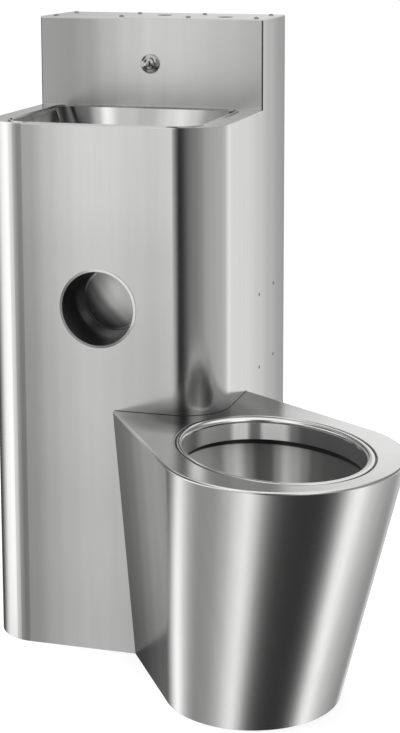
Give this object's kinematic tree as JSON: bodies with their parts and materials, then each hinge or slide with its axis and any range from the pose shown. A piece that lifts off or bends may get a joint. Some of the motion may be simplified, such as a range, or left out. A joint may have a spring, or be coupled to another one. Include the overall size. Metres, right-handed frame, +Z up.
{
  "type": "toilet and basin combination unit",
  "caption": "Stainless steel floor-standing unit with a wash basin on a tall column, a round toilet roll recess and a toilet pan set at its front corner.",
  "frame": {"origin": "on the floor at the wall, in the middle of the column's width", "axes": "+Z up, +Y into the wall, +X to the right of someone who faces the unit; the pan points along +X and -Y"},
  "size_m": [0.7086, 0.7386, 1.0022],
  "materials": {
    "satin_steel": "satin brushed",
    "polished_steel": "mirror polished",
    "bright_steel": "drawn",
    "black_rubber": "matt",
    "brass": "machined",
    "copper": "drawn tube",
    "white_plastic": "moulded",
    "grey_plastic": "moulded"
  },
  "bodies": {
    "unit": {"column_shell": "satin_steel", "upstand_panel": "satin_steel", "basin_deck": "satin_steel", "basin_bowl": "satin_steel", "cap_plate": "satin_steel", "cap_frame": "satin_steel", "cap_gasket": "black_rubber", "cap_screws": "satin_steel", "recess_cup": "satin_steel", "recess_end": "satin_steel", "back_post_left": "satin_steel", "back_post_right": "satin_steel", "rail_upper": "satin_steel", "rail_lower": "satin_steel", "base_rail": "satin_steel", "tap_collar": "polished_steel", "tap_spring": "bright_steel", "tap_body": "brass", "tap_nut": "brass", "tap_washer": "black_rubber", "spout_nozzle": "grey_plastic", "basin_inlet": "brass", "basin_stop_body": "brass", "basin_supply_pipe": "copper", "flush_inlet": "brass", "flush_stop_body": "brass", "flush_pipe": "copper", "flush_bend": "copper", "flush_tail": "copper", "flush_grommet": "black_rubber", "pipe_bracket": "satin_steel", "pipe_clamp": "satin_steel", "side_screws": "satin_steel", "waste_grid": "satin_steel", "waste_body": "brass", "waste_seal": "black_rubber", "waste_nut": "brass", "trap_head": "white_plastic", "trap_cup": "white_plastic", "basin_waste_pipe": "white_plastic", "pan_skirt": "satin_steel", "pan_top": "satin_steel", "seat_ring": "satin_steel", "pan_collar": "satin_steel", "pan_bowl": "satin_steel", "pan_trap": "satin_steel", "outlet_seal": "black_rubber", "outlet_neck": "grey_plastic", "outlet_bend": "grey_plastic", "pan_outlet": "grey_plastic", "pan_tabs": "satin_steel"},
    "tap_plunger": {"tap_button": "polished_steel", "tap_spindle": "brass"},
    "basin_valve": {"basin_stop_ball": "bright_steel", "basin_stop_spindle": "brass"},
    "flush_valve": {"flush_stop_ball": "bright_steel", "flush_stop_spindle": "brass"}
  },
  "joints": [
    {"name": "tap_push", "type": "slide", "parent": "unit", "child": "tap_plunger", "axis": [0, 1, 0], "range_m": [0, 0.005], "stiffness_N_per_m": 1500, "springref_m": -0.004, "deforming": ["tap_spring"]},
    {"name": "basin_stop_turn", "type": "hinge", "parent": "unit", "child": "basin_valve", "pos_m": [0, -0.068, 0.96], "axis": [1, 0, 0], "range_deg": [0, 90]},
    {"name": "flush_stop_turn", "type": "hinge", "parent": "unit", "child": "flush_valve", "pos_m": [0.117, -0.1, 0.954], "axis": [1, 0, 0], "range_deg": [0, 90]}
  ]
}
